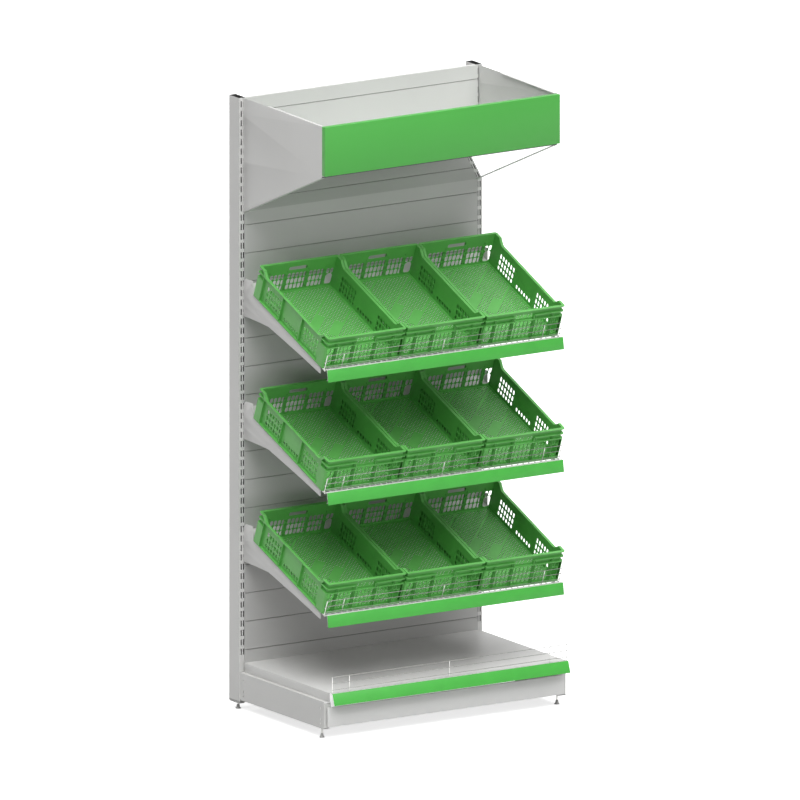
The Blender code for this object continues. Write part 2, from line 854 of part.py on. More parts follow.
def make_shelves(wall, paint, green, chrome, crate_green):
    tray = tray_mesh()
    strip = strip_mesh(nose_line()[-1], nose_face_down)
    feet = guard_feet()
    rails = [guard_height - step * guard_rail_pitch for step in range(guard_rail_count)]
    guard = guard_mesh(feet, sorted(rails))
    crate = crate_mesh()
    for number, slot in enumerate(shelf_slots, start=1):
        height = slot_top(slot) + shelf_rise
        line = empty(f"shelf_line_{number}", wall, 0.0, shelf_start, height, slope)
        place(f"shelf_tray_{number}", tray, paint, line)
        place(f"ticket_strip_{number}", strip, green, line)
        place(f"wire_guard_{number}", guard, chrome, line, spot(0, shelf_length - guard_setback, 0))
        for column in range(crates_per_shelf):
            across = (column - (crates_per_shelf - 1) / 2) * crate_pitch
            along = crate_start + crate_length / 2
            name = f"crate_{number}_{column + 1}"
            place(name, crate, crate_green, line, spot(across, along, fit_gap))


def guard_feet():
    inner = guard_half_length - guard_end_bay
    return (-guard_half_length, -inner, 0.0, inner, guard_half_length)


def make_legs(wall, paint):
    top = leg_underside + leg_height
    outline = [
        (plate_rear, leg_underside),
        (plate_rear, top),
        (leg_front, top),
        (leg_front, leg_underside),
    ]
    flanges = {0: leg_rear_flange, 1: leg_top_flange, 2: leg_front_flange, 3: leg_bottom_flange}
    stud_line = leg_front - front_foot_setback
    for side, side_name in side_names.items():
        leg = flanged_plate("leg", outline, flanges, side, leg_outer_face, leg_sheet)
        web_outside = side * (leg_outer_face + cut_overrun)
        web_inside = side * (leg_outer_face - leg_sheet - cut_overrun)
        nut_centre = spot(
            side * foot_across(),
            stud_line,
            leg_underside + leg_sheet / 2 + weld_nut_height / 2,
        )
        nut = cylinder(
            "nut", weld_nut_radius, nut_centre, weld_nut_height, (0, 0, 1), weld_nut_sides
        )
        combine(leg, nut, "UNION")
        cutters = [nut]
        cutters.append(
            cylinder(
                "hole",
                stud_radius + fit_gap,
                nut_centre,
                weld_nut_height + 2 * cut_overrun,
                (0, 0, 1),
                hole_segments,
            )
        )
        for forward in (plate_rear + leg_slot_inset, leg_front - leg_slot_inset):
            for row in range(leg_slots_per_end):
                height = top - leg_slot_drop - row * leg_slot_pitch
                cutters.append(
                    box(
                        "slot",
                        (web_outside, web_inside),
                        (forward - leg_slot_width / 2, forward + leg_slot_width / 2),
                        (height - leg_slot_height / 2, height + leg_slot_height / 2),
                    )
                )
            hole_centre = spot(side * leg_outer_face, forward, top - leg_hole_drop)
            length = 2 * (leg_sheet + cut_overrun)
            cutters.append(
                cylinder("hole", leg_hole_radius, hole_centre, length, (1, 0, 0), hole_segments)
            )
        for cutter in cutters[1:]:
            combine(leg, cutter, "DIFFERENCE")
        mesh = baked(leg)
        for cutter in cutters:
            bpy.data.objects.remove(cutter, do_unlink=True)
        place(f"base_leg_{side_name}", mesh, paint, wall)


def foot_across():
    """Front feet stand under the middle of the legs' lower flanges."""
    return leg_outer_face - leg_bottom_flange / 2


def make_kick(wall, paint):
    back = leg_front + fit_gap
    top = kick_underside + kick_height
    outline = [(back, top), (kick_face, top), (kick_face, kick_underside), (back, kick_underside)]
    kick = folded_sheet("kick", outline, kick_half_length, kick_sheet, 1, Vector((0, -1, 0)))
    place("kick_panel", baked(kick), paint, wall)


def make_base_shelf(wall, paint, green, chrome):
    leg_top = leg_underside + leg_height + fit_gap
    lean = math.radians(deck_nose_lean_degrees)
    strip_reach = (strip_stand + fit_gap) / math.cos(lean)
    strip_top_reach = rack_depth - strip_height * math.sin(lean)
    nose_reach = strip_top_reach - strip_reach * math.cos(lean) ** 2
    rear = panel_front_clear
    nose_top = (nose_reach, deck_height)
    face_down = 90 - deck_nose_lean_degrees
    nose_foot = turn(nose_top, deck_nose_height, face_down)
    nose_end = turn(nose_foot, -deck_nose_return, face_down - 90)
    outline = [
        (rear, leg_top),
        (rear, deck_height),
        (rear + flange_relief, deck_height),
        (deck_side_reach, deck_height),
        nose_top,
        nose_foot,
        nose_end,
    ]
    deck = folded_sheet(
        "deck",
        outline,
        deck_half_width,
        deck_sheet,
        2,
        Vector((0, 0, 1)),
        side_flange=deck_height - leg_top,
    )
    place("base_deck", baked(deck), paint, wall)
    place("base_ticket_strip", strip_mesh(nose_top, face_down), green, wall)
    first = guard_height + fit_gap - (guard_rail_count - 1) * guard_rail_pitch
    rails = [first + step * guard_rail_pitch for step in range(guard_rail_count)]
    guard = guard_mesh(guard_feet(), rails)
    guard_line = nose_reach - guard_wire
    place("base_wire_guard", guard, chrome, wall, spot(0, guard_line, deck_height))


def make_feet(wall, plastic, zinc):
    pad_profile = [
        (0.0, 0.0),
        (pad_radius, 0.0),
        (pad_radius, pad_rim_height),
        (pad_shoulder_radius, pad_shoulder_height),
        (pad_neck_radius, pad_height),
        (0.0, pad_height),
    ]
    pad = baked(turned("pad", pad_profile, foot_segments), 30)
    stud_profile = [
        (0.0, 0.0),
        (stud_radius, 0.0),
        (stud_radius, stud_length - stud_chamfer),
        (stud_radius - stud_chamfer, stud_length),
        (0.0, stud_length),
    ]
    stud = baked(turned("stud", stud_profile, foot_segments), 30)
    places = {
        "rear": (half_bay, rear_foot_setback),
        "front": (foot_across(), leg_front - front_foot_setback),
    }
    for end, (across, forward) in places.items():
        for side, side_name in side_names.items():
            name = f"{end}_{side_name}"
            foot = empty(f"foot_line_{name}", wall, side * across, forward, 0.0)
            place(f"foot_pad_{name}", pad, plastic, foot)
            place(f"foot_stud_{name}", stud, zinc, foot, spot(0, 0, pad_height + fit_gap))


def main():
    remove_old_objects()
    paint = finish("light grey paint", (0.62, 0.62, 0.60), 0.45)
    green = finish("green strip", (0.09, 0.55, 0.07), 0.4)
    fascia_green = finish("green fascia", (0.11, 0.50, 0.09), 0.45)
    crate_green = finish("green crate plastic", (0.12, 0.42, 0.10), 0.5)
    chrome = finish("bright wire", (0.80, 0.80, 0.80), 0.2, 1.0)
    zinc = finish("zinc plated steel", (0.70, 0.70, 0.68), 0.35, 1.0)
    grey_plastic = finish("grey plastic", (0.45, 0.45, 0.44), 0.55)
    mirror_finish = finish("mirror", (0.85, 0.86, 0.86), 0.03, 1.0)
    wall = empty("wall_line", None, 0.0, -rack_depth / 2, 0.0)
    make_uprights(wall, paint)
    make_caps(wall, grey_plastic)
    make_rails(wall, paint)
    make_panels(wall, paint)
    make_canopy(wall, paint, fascia_green, mirror_finish)
    make_brackets(wall, paint)
    make_shelves(wall, paint, green, chrome, crate_green)
    make_legs(wall, paint)
    make_kick(wall, paint)
    make_base_shelf(wall, paint, green, chrome)
    make_feet(wall, grey_plastic, zinc)


main()
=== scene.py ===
import json
import math

import bpy
from mathutils import Matrix, Vector

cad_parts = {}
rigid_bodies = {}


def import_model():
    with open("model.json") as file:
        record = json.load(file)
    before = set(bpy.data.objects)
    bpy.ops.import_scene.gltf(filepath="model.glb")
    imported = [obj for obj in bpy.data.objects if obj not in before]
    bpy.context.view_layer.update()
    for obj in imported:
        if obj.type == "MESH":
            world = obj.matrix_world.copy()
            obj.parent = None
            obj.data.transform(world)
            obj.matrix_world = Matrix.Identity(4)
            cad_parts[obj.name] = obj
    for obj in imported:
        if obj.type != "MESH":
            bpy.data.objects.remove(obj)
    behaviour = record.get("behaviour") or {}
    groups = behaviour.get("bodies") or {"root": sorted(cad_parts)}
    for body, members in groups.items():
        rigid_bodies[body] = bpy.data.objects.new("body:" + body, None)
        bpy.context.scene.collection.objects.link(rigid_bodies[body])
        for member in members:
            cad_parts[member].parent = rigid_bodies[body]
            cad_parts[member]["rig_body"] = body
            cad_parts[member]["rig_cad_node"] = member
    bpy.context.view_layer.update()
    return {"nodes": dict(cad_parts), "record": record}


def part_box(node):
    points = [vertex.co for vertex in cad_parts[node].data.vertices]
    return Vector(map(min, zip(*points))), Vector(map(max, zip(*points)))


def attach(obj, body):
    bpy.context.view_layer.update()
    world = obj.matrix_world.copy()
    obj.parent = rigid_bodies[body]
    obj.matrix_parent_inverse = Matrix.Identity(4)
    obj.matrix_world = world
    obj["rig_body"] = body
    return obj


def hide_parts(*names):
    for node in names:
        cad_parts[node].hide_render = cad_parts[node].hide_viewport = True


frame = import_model()
nodes = frame["nodes"]
bodyOfNode = {}
for bodyName, members in frame["record"]["behaviour"]["bodies"].items():
    for member in members:
        bodyOfNode[member] = bodyName
past = 0.01    # how far a cutter runs past what it cuts


def clearSelection():
    if bpy.context.object and bpy.context.object.mode != "OBJECT":
        bpy.ops.object.mode_set(mode="OBJECT")
    bpy.ops.object.select_all(action="DESELECT")


def makeActive(piece):
    clearSelection()
    piece.select_set(True)
    bpy.context.view_layer.objects.active = piece


def newest(name):
    piece = bpy.context.object
    piece.name = name
    piece.data.name = name
    return piece


def addBox(name, low, high):
    clearSelection()
    centre = [(a + b) / 2 for a, b in zip(low, high)]
    size = [b - a for a, b in zip(low, high)]
    bpy.ops.mesh.primitive_cube_add(size=1, location=centre, scale=size)
    piece = newest(name)
    bpy.ops.object.transform_apply(location=True, rotation=True, scale=True)
    return piece


def addRod(name, radius, start, end, sides):
    clearSelection()
    way = Vector(end) - Vector(start)
    bpy.ops.mesh.primitive_cylinder_add(
        vertices=sides, radius=radius, depth=way.length, location=(Vector(start) + Vector(end)) / 2,
        rotation=way.to_track_quat("Z", "Y").to_euler(),
    )
    piece = newest(name)
    bpy.ops.object.transform_apply(location=True, rotation=True, scale=True)
    return piece


# Edit mode with what passes the test selected
def editOn(piece, faces=None, edges=None, points=None):
    makeActive(piece)
    bpy.ops.object.mode_set(mode="EDIT")
    kind = "FACE" if faces else "EDGE" if edges else "VERT"
    bpy.ops.mesh.select_mode(type=kind)
    bpy.ops.mesh.select_all(action="DESELECT")
    bpy.ops.object.mode_set(mode="OBJECT")
    mesh = piece.data
    if faces:
        for face in mesh.polygons:
            face.select = faces(face)
    if edges:
        for edge in mesh.edges:
            a, b = (mesh.vertices[i].co for i in edge.vertices)
            edge.select = edges(a, b)
    if points:
        for vertex in mesh.vertices:
            vertex.select = points(vertex.co)
    bpy.ops.object.mode_set(mode="EDIT")


def editOff():
    bpy.ops.object.mode_set(mode="OBJECT")


def applyAll(piece):
    makeActive(piece)
    for modifier in list(piece.modifiers):
        bpy.ops.object.modifier_apply(modifier=modifier.name)


def cutWith(piece, cutter, operation="DIFFERENCE"):
    cut = piece.modifiers.new("cut", "BOOLEAN")
    cut.operation = operation
    cut.solver = "EXACT"
    cut.object = cutter
    applyAll(piece)
    bpy.data.objects.remove(cutter, do_unlink=True)
    return piece


def joined(name, pieces):
    clearSelection()
    for piece in pieces:
        piece.select_set(True)
    bpy.context.view_layer.objects.active = pieces[0]
    if len(pieces) > 1:
        bpy.ops.object.join()
    return newest(name)


def smoothed(piece, degrees=35):
    makeActive(piece)
    bpy.ops.object.shade_smooth_by_angle(angle=math.radians(degrees))
    return piece


def twin(piece, name, move=None):
    copy = piece.copy()
    copy.data = piece.data.copy()
    copy.name = name
    copy.data.name = name
    bpy.context.collection.objects.link(copy)
    if move is not None:
        copy.data.transform(move)
    return copy


def meshBox(piece):
    xs, ys, zs = zip(*(vertex.co for vertex in piece.data.vertices))
    return Vector((min(xs), min(ys), min(zs))), Vector((max(xs), max(ys), max(zs)))


# Puts the piece's box on the middle of the node's box
def seatOn(piece, node):
    low, high = meshBox(piece)
    nodeLow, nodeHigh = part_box(node)
    piece.data.transform(Matrix.Translation((nodeLow + nodeHigh - low - high) / 2))


def takeOver(piece, node, material):
    piece.data.materials.clear()
    piece.data.materials.append(material)
    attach(piece, bodyOfNode[node])
    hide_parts(node)


# A copy of a folded CAD part, with its sharp edges rounded off
def softened(node, width, segments=2, degrees=30):
    piece = twin(nodes[node], f"{node}_finished")
    piece.parent = None
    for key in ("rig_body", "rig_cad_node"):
        if key in piece:
            del piece[key]
    editOn(piece, points=lambda co: True)
    bpy.ops.mesh.remove_doubles(threshold=0.00001)
    bpy.ops.mesh.dissolve_limited(angle_limit=math.radians(1))
    editOff()
    bevel = piece.modifiers.new("soft edges", "BEVEL")
    bevel.width = width
    bevel.segments = segments
    bevel.limit_method = "ANGLE"
    bevel.angle_limit = math.radians(degrees)
    applyAll(piece)
    return smoothed(piece, 40)


# Short ways to lay out a material's nodes
class Graph:
    def __init__(self, name):
        self.material = bpy.data.materials.new(name)
        self.material.use_nodes = True
        self.tree = self.material.node_tree
        self.shader = self.tree.nodes["Principled BSDF"]
        self.spot = self.tree.nodes.new("ShaderNodeTexCoord").outputs["Object"]

    def node(self, kind, **inputs):
        made = self.tree.nodes.new(kind)
        for key, value in inputs.items():
            self.feed(made.inputs[key.replace("_", " ")], value)
        return made

    def feed(self, socket, value):
        if isinstance(value, bpy.types.NodeSocket):
            self.tree.links.new(value, socket)
        else:
            socket.default_value = value

    def noise(self, scale, detail=2.0, roughness=0.5):
        made = self.node("ShaderNodeTexNoise", Scale=scale, Detail=detail, Roughness=roughness)
        self.tree.links.new(self.spot, made.inputs["Vector"])
        return made.outputs["Fac"]

    def spread(self, value, low, high):
        made = self.node("ShaderNodeMapRange", Value=value)
        made.inputs["From Min"].default_value = 0.25
        made.inputs["From Max"].default_value = 0.75
        made.inputs["To Min"].default_value = low
        made.inputs["To Max"].default_value = high
        return made.outputs["Result"]

    def ramp(self, value, colours):
        made = self.tree.nodes.new("ShaderNodeValToRGB")
        stops = made.color_ramp.elements
        while len(stops) < len(colours):
            stops.new(0.5)
        for stop, (place, colour) in zip(stops, colours):
            stop.position = place
            stop.color = (*colour, 1)
        self.tree.links.new(value, made.inputs["Fac"])
        return made.outputs["Color"]

    def along(self, axis):
        return self.node("ShaderNodeSeparateXYZ", Vector=self.spot).outputs[axis]

    def sum(self, operation, *values):
        made = self.tree.nodes.new("ShaderNodeMath")
        made.operation = operation
        for socket, value in zip(made.inputs, values):
            self.feed(socket, value)
        return made.outputs[0]

    def vector(self, operation, *values):
        made = self.tree.nodes.new("ShaderNodeVectorMath")
        made.operation = operation
        for socket, value in zip(made.inputs, values):
            self.feed(socket, value)
        return made.outputs["Vector"]

    def scaled(self, colour, factor):
        tone = self.vector("SCALE", colour)
        self.feed(tone.node.inputs["Scale"], factor)
        return tone

    def bump(self, value, distance, strength=1.0):
        made = self.node("ShaderNodeBump", Height=value, Distance=distance, Strength=strength)
        self.tree.links.new(made.outputs["Normal"], self.shader.inputs["Normal"])

    def set(self, **values):
        for key, value in values.items():
            self.feed(self.shader.inputs[key.replace("_", " ")], value)
        return self.material


coat = {"roughness": 0.42, "grain": 1100, "grainHigh": 0.00006}
# painted shadow in the panel seams: the band's height, how far the paint is darkened there, and the
# panels in one stack
seamShadow = {"wide": 0.0030, "dark": 0.35, "panelsInStack": 3}
# painted shade inside the uprights' tubes: the second value is how much of the paint's tone is
# taken off there
tube = {"inset": 0.0010, "insideShade": 0.9}    # the dark inside starts below the skin
# painted shade along the mirror's front edge: its width, and the share of the silver tone left in
# it
mirrorEdgeShade = {"wide": 0.004, "left": 0.1}


def shade(colour, factor):
    return tuple(min(1.0, channel * factor) for channel in colour)


def mottled(g, colour, low=0.975, high=1.02):
    return g.ramp(g.noise(2.3, 3), [(0.3, shade(colour, low)), (0.7, shade(colour, high))])


def coated(g, tone, roughness=coat["roughness"]):
    g.set(Base_Color=tone)
    g.set(Roughness=g.spread(g.noise(34, 4), roughness - 0.05, roughness + 0.06))
    g.bump(g.noise(coat["grain"], 2), coat["grainHigh"], 0.5)
    return g.set(IOR=1.5, Coat_Weight=0.08, Coat_Roughness=0.25)


def powderCoat(name, colour, roughness=coat["roughness"]):
    g = Graph(name)
    return coated(g, mottled(g, colour), roughness)


# Powder coat with painted shadow in the seams: a dark band at each seam between the panels stands
# in for the shade inside the seam
def panelPaint(name, colour):
    g = Graph(name)
    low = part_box("back_panels_1")[0]
    pitch = (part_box("back_panels_2")[0].z - low.z) / seamShadow["panelsInStack"]
    step = g.sum("SUBTRACT", g.along("Z"), low.z - 0.5 * seamShadow["wide"])
    step = g.sum("FRACT", g.sum("DIVIDE", step, pitch))
    dark = g.ramp(step, [(0.0, shade(colour, seamShadow["dark"])), (seamShadow["wide"] / pitch, colour)])
    dark.node.color_ramp.interpolation = "CONSTANT"
    return coated(g, g.vector("MULTIPLY", dark, mottled(g, (1.0, 1.0, 1.0), high=1.0)))


def mouldedPlastic(name, colour, roughness=0.42, grain=700):
    g = Graph(name)
    tone = g.noise(9, 4, 0.6)
    g.set(Base_Color=g.ramp(tone, [(0.28, shade(colour, 0.93)), (0.72, shade(colour, 1.06))]))
    g.set(Roughness=g.spread(g.noise(60, 3), roughness - 0.06, roughness + 0.08))
    g.bump(g.noise(grain, 3), 0.00008, 0.45)
    return g.set(IOR=1.5, Specular_IOR_Level=0.5)


# Drawn wire with painted light and shade: the attribute leads from the shaded tone, given to the
# rails, to the lit tone, given to the posts
def wireMetal(name, shadedTone, bright, roughness):
    g = Graph(name)
    litShare = g.tree.nodes.new("ShaderNodeAttribute")
    litShare.attribute_name = "litShare"
    level = g.sum("MULTIPLY_ADD", litShare.outputs["Fac"], 0.8, g.spread(g.noise(140, 3), 0.0, 0.2))
    g.set(Base_Color=g.ramp(level, [(0.0, shadedTone), (1.0, bright)]))
    g.set(Roughness=g.spread(g.noise(420, 2), roughness * 0.8, roughness * 1.3))
    g.bump(g.noise(1600, 2), 0.00002, 0.4)
    return g.set(Metallic=1.0)


def platedMetal(name, colour, roughness):
    g = Graph(name)
    tone = g.ramp(g.noise(120, 3), [(0.3, shade(colour, 0.9)), (0.7, shade(colour, 1.05))])
    g.set(Base_Color=tone)
    g.set(Roughness=g.spread(g.noise(420, 2), roughness * 0.75, roughness * 1.3))
    g.bump(g.noise(1600, 2), 0.00002, 0.4)
    return g.set(Metallic=1.0)


# Silvered glass with painted shade: a dark, unsilvered strip along its front edge stands in for the
# shade under the fascia
def mirrorGlass(name):
    g = Graph(name)
    silver = g.ramp(g.noise(1.4, 2), [(0.3, (0.61, 0.63, 0.61)), (0.7, (0.64, 0.66, 0.64))])
    front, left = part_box("canopy_mirror")[0].y, mirrorEdgeShade["left"]
    pastShadedEdge = g.sum("GREATER_THAN", g.along("Y"), front + mirrorEdgeShade["wide"])
    tone = g.scaled(silver, g.sum("MULTIPLY_ADD", pastShadedEdge, 1 - left, left))
    g.set(Base_Color=tone, Metallic=pastShadedEdge)
    return g.set(Roughness=g.spread(g.noise(7, 4, 0.65), 0.008, 0.03))


# Powder coat outside, with painted shade inside the uprights' tubes: the inside is darkened to
# stand in for the shade there
def tubePaintShadedInside(name, colour):
    g = Graph(name)
    low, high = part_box("upright_right")
    across, back, inset = g.sum("ABSOLUTE", g.along("X")), g.along("Y"), tube["inset"]
    inside = 1.0
    for test, value, edge in (
        ("GREATER_THAN", across, low.x + inset), ("LESS_THAN", across, high.x - inset),
        ("GREATER_THAN", back, low.y + inset), ("LESS_THAN", back, high.y - inset),
    ):
        inside = g.sum("MULTIPLY", inside, g.sum(test, value, edge))
    insideShading = g.sum("MULTIPLY_ADD", inside, -tube["insideShade"], 1.0)
    return coated(g, g.scaled(mottled(g, colour), insideShading))


finishes = {
    "paint": powderCoat("light_grey_powder_coat", (0.70, 0.70, 0.685)),
    "tubePaintShadedInside": tubePaintShadedInside("upright_powder_coat", (0.70, 0.70, 0.685)),
    # a paler copy of the light grey paint: painted light for the kick panel, which catches the
    # front light and the floor's bounce
    "kickLitPaint": powderCoat("lit_pale_powder_coat", (0.82, 0.82, 0.81)),
    # one panel paint in a shaded and a lit copy: the darker is painted shade for the panels under
    # the canopy and shelves, the paler painted light for the panel above the canopy
    "panelShaded": panelPaint("shaded_panel_powder_coat", (0.51, 0.51, 0.50)),
    "panelLit": panelPaint("lit_panel_powder_coat", (0.74, 0.74, 0.725)),
    "fascia_green": powderCoat("green_powder_coat", (0.066, 0.410, 0.055), roughness=0.46),
    "strip_green": mouldedPlastic("green_strip_plastic", (0.058, 0.440, 0.050), 0.38, 900),
    "crate_green": mouldedPlastic("green_crate_plastic", (0.118, 0.445, 0.093), 0.45),
    # the rails get the darker tone as painted shade, the posts the lighter one as painted light
    "bright_wire": wireMetal("zinc_plated_wire", (0.22, 0.22, 0.21), (0.72, 0.72, 0.70), 0.3),
    "zinc": platedMetal("zinc_plated_steel", (0.66, 0.66, 0.64), 0.34),
    "foot_plastic": mouldedPlastic("grey_foot_plastic", (0.42, 0.42, 0.41), 0.5),
    "mirror": mirrorGlass("silvered_mirror"),
}
print("finishes ready:", len(finishes))


# Crates
crate = {
    "width": 0.416, "length": 0.620, "height": 0.1545,
    "overhang": 0.0105, "wall": 0.0025, "draft": 0.0015, "corner": 0.0015,
    "rim": 0.0040, "rimDrop": 0.026, "stepStart": 0.045, "stepLength": 0.030,
    "bandTop": 0.1045, "ledge": 0.0040, "foot": 0.0040, "sidePost": 0.055, "endPost": 0.008,
    "postSheet": 0.0022,
    "sidePitch": 0.0225, "sideWide": 0.0148, "endPitch": 0.0207, "endWide": 0.0175,
    "sideRows": ((0.0825, 0.0240), (0.0520, 0.0240), (0.0245, 0.0190)),    # centre height, tall
    "endRows": ((0.0840, 0.0275), (0.0545, 0.0275), (0.0250, 0.0275)),
    "sideGroups": ((-0.16175, 6, 3), (0.0, 6, 1), (0.16175, 6, 3)),    # centre, columns, rows
    "endGroups": ((-0.1035, 4, 3), (0.0, 5, 3), (0.1035, 4, 3)),
    "corners": ((0.1740, 0.0385, 0.0370, 0.0600),),                    # across, height, wide, tall
    "fingers": ((0.1640, 0.0812, 0.0170, 0.0276), (0.1840, 0.0812, 0.0170, 0.0276)),
    "sideRibs": (-0.085, 0.085), "endRibs": (-0.150, -0.057, 0.057, 0.150),
    "ribWide": 0.0030, "pairWide": 0.0022, "pairApart": 0.0070,
    "pinWide": 0.0044, "pinTall": 0.0105, "pins": 6, "pinStart": 0.0150, "pinPitch": 0.0180,
    "holdWide": 0.098, "holdTall": 0.018, "holdHeight": 0.1215, "holdRound": 0.007,
    "floorUnder": 0.0010, "floor": 0.0030, "floorEdge": 0.010,
    "cell": 0.1273, "slotsAcross": 10, "slotsAlong": 9,
    "floorSlotWide": 0.0044, "floorSlotLong": 0.0102, "bandHalf": 0.0072, "lineHalf": 0.0029,
    "openMiddle": 0.026, "tilt": 21.5,
    # how far parts run into each other
    "join": 0.0005, "rimSink": 0.0008, "ledgeSink": 0.0010, "footSink": 0.0006, "skin": 0.0002,
    "rimRound": 0.010, "ribRound": 0.0006, "cheekOff": 0.0010,
    "notchWider": 0.004, "notchTall": 0.024, "floorPast": 0.0010, "floorThinner": 0.0006,
}


def crateTube(name, outerInset, thickness, bottom, top):
    c = crate
    x = c["width"] / 2 - outerInset
    y = c["length"] / 2 - outerInset
    tube = addBox(name, (-x, -y, bottom), (x, y, top))
    corners = lambda a, b: abs(a.z - b.z) > 0.001
    editOn(tube, edges=corners)
    bpy.ops.mesh.bevel(offset=c["corner"] + c["overhang"] - outerInset, segments=5, affect="EDGES")
    editOff()
    editOn(tube, faces=lambda face: abs(face.normal.z) > 0.9)
    bpy.ops.mesh.delete(type="FACE")
    editOff()
    wall = tube.modifiers.new("wall", "SOLIDIFY")
    wall.thickness = thickness
    wall.offset = -1
    wall.use_even_offset = True
    applyAll(tube)
    return tube


# What is taken off above the low long sides, with the soft step at each end
def rimCutter():
    c = crate
    low = c["height"] - c["rimDrop"]
    half = c["length"] / 2 - c["stepStart"]
    wide = c["width"] / 2 + past
    cutter = addBox("rim cutter", (-wide, -half, low), (wide, half, c["height"]))
    editOn(cutter, points=lambda co: co.z < low + 0.001)
    factor = (half - c["stepLength"]) / half
    bpy.ops.transform.resize(value=(1, factor, 1), center_override=(0, 0, low))
    editOff()
    editOn(cutter, faces=lambda face: face.normal.z > 0.9)
    bpy.ops.mesh.extrude_region_move(TRANSFORM_OT_translate={"value": (0, 0, past)})
    editOff()
    turns = lambda a, b: abs(a.x - b.x) > 0.1 and a.z < c["height"] + 0.001
    editOn(cutter, edges=turns)
    bpy.ops.mesh.bevel(offset=c["rimRound"], segments=5, affect="EDGES")
    editOff()
    return cutter


# A rounded slot's cutter, through the crate along x or y
def ovalCutter(name, centre, wide, tall, along, length):
    radius = wide / 2
    clearSelection()
    bpy.ops.mesh.primitive_cylinder_add(vertices=14, radius=radius, depth=length)
    cutter = newest(name)
    cutter.rotation_euler = (0, math.pi / 2, 0) if along == "x" else (math.pi / 2, 0, 0)
    bpy.ops.object.transform_apply(location=True, rotation=True, scale=True)
    stretch = (tall - wide) / 2
    for vertex in cutter.data.vertices:
        vertex.co.z += math.copysign(stretch, vertex.co.z)
    cutter.data.transform(Matrix.Translation(centre))
    return cutter


def slotCutters(wall, along):
    c = crate
    length = (c["width"] if along == "x" else c["length"]) + 2 * past
    cutters = []
    for centre, columns, rows in c[wall + "Groups"]:
        for column in range(columns):
            across = centre + (column - (columns - 1) / 2) * c[wall + "Pitch"]
            for height, tall in c[wall + "Rows"][3 - rows:]:
                place = (0, across, height) if along == "x" else (across, 0, height)
                cutters.append(ovalCutter("slot", place, c[wall + "Wide"], tall, along, length))
    return cutters


# The large openings beside the corner posts, through both end walls
def cornerCutters(shapes):
    c = crate
    return [
        ovalCutter(
            "corner opening", (side * across, 0, height), wide, tall, "y", c["length"] + 2 * past
        )
        for across, height, wide, tall in shapes for side in (-1, 1)
    ]


# Small slots between the paired ribs of the end walls
def pinCutters():
    c = crate
    reach, half, tall = c["length"] / 2 + past, c["pinWide"] / 2, c["pinTall"] / 2
    heights = [c["pinStart"] + number * c["pinPitch"] for number in range(c["pins"])]
    return [
        addBox("pin", (x - half, -reach, z - tall), (x + half, reach, z + tall))
        for x in c["endRibs"] for z in heights
    ]


def crateWalls():
    c = crate
    walls = crateTube("crate walls", c["overhang"], c["wall"], 0.0, c["height"])
    editOn(walls, points=lambda co: co.z < 0.001)
    shrink = [1 - 2 * c["draft"] / (c[key] - 2 * c["overhang"]) for key in ("width", "length")]
    bpy.ops.transform.resize(value=(*shrink, 1), center_override=(0, 0, 0))
    editOff()
    cutWith(walls, rimCutter())
    cutWith(walls, joined("side slots", slotCutters("side", "x")))
    ends = slotCutters("end", "y") + cornerCutters(c["corners"])
    wide, tall = c["holdWide"] / 2, c["holdTall"] / 2
    reach = c["length"] / 2 + past
    hold = addBox(
        "hold", (-wide, -reach, c["holdHeight"] - tall), (wide, reach, c["holdHeight"] + tall)
    )
    editOn(hold, edges=lambda a, b: abs(a.y - b.y) > 0.1)
    bpy.ops.mesh.bevel(offset=c["holdRound"], segments=4, affect="EDGES")
    editOff()
    cutWith(walls, joined("end slots", ends + [hold]))
    return cutWith(walls, joined("pins", pinCutters() + cornerCutters(c["fingers"])))


# The outward rim and the ledge under it on the raised ends
def crateRim():
    c = crate
    low = c["height"] - c["rimDrop"]
    rim = crateTube("crate rim", 0.0, c["overhang"] + c["rimSink"], low - c["rim"], c["height"])
    cutWith(rim, rimCutter())
    wide = c["width"] / 2 + past
    end = c["length"] / 2
    for side in (-1, 1):
        inner = side * (end - c["stepStart"] - 0.35 * c["stepLength"])
        outer = side * (end + past)
        groove = addBox(
            "groove",
            (-wide, min(inner, outer), low),
            (wide, max(inner, outer), c["height"] - c["rim"]),
        )
        editOn(groove, points=lambda co: abs(co.y) < end and co.z > low + 0.001)
        bpy.ops.transform.translate(value=(0, side * 0.60 * c["stepLength"], 0))
        editOff()
        cutWith(rim, groove)
    hold, tall = c["holdWide"] / 2 + c["notchWider"], c["notchTall"] / 2
    notch = addBox(
        "notch", (-hold, -end - past, c["holdHeight"] - tall),
        (hold, end + past, c["holdHeight"] + tall),
    )
    return cutWith(rim, notch)


# The ledge over the corner posts, and the flange round the foot
def crateLedges():
    c = crate
    end, wide = c["length"] / 2, c["width"] / 2
    under = c["bandTop"] - c["ledge"]
    ledge = crateTube("ledge", 0.0, c["overhang"] + c["ledgeSink"], under, c["bandTop"])
    reach = end - c["sidePost"]
    cutWith(ledge, addBox("gap", (-wide - past, -reach, 0.05), (wide + past, reach, 0.15)))
    deep = c["overhang"] + c["draft"] + c["footSink"]
    foot = crateTube("foot flange", 0.0, deep, 0.0, c["foot"])
    return [ledge, foot]


# The outer skin of the four corners, open between them
def cratePosts():
    c = crate
    end, wide = c["length"] / 2, c["width"] / 2
    bottom, top = c["foot"] - c["join"], c["bandTop"] - c["ledge"] + c["join"]
    posts = crateTube("posts", 0.0, c["postSheet"], bottom, top)
    sides, ends = end - c["sidePost"], wide - c["endPost"]
    cutWith(posts, addBox("gap", (-wide - past, -sides, -past), (wide + past, sides, 0.15)))
    cutWith(posts, addBox("gap", (-ends, -end - past, -past), (ends, end + past, 0.15)))
    return posts


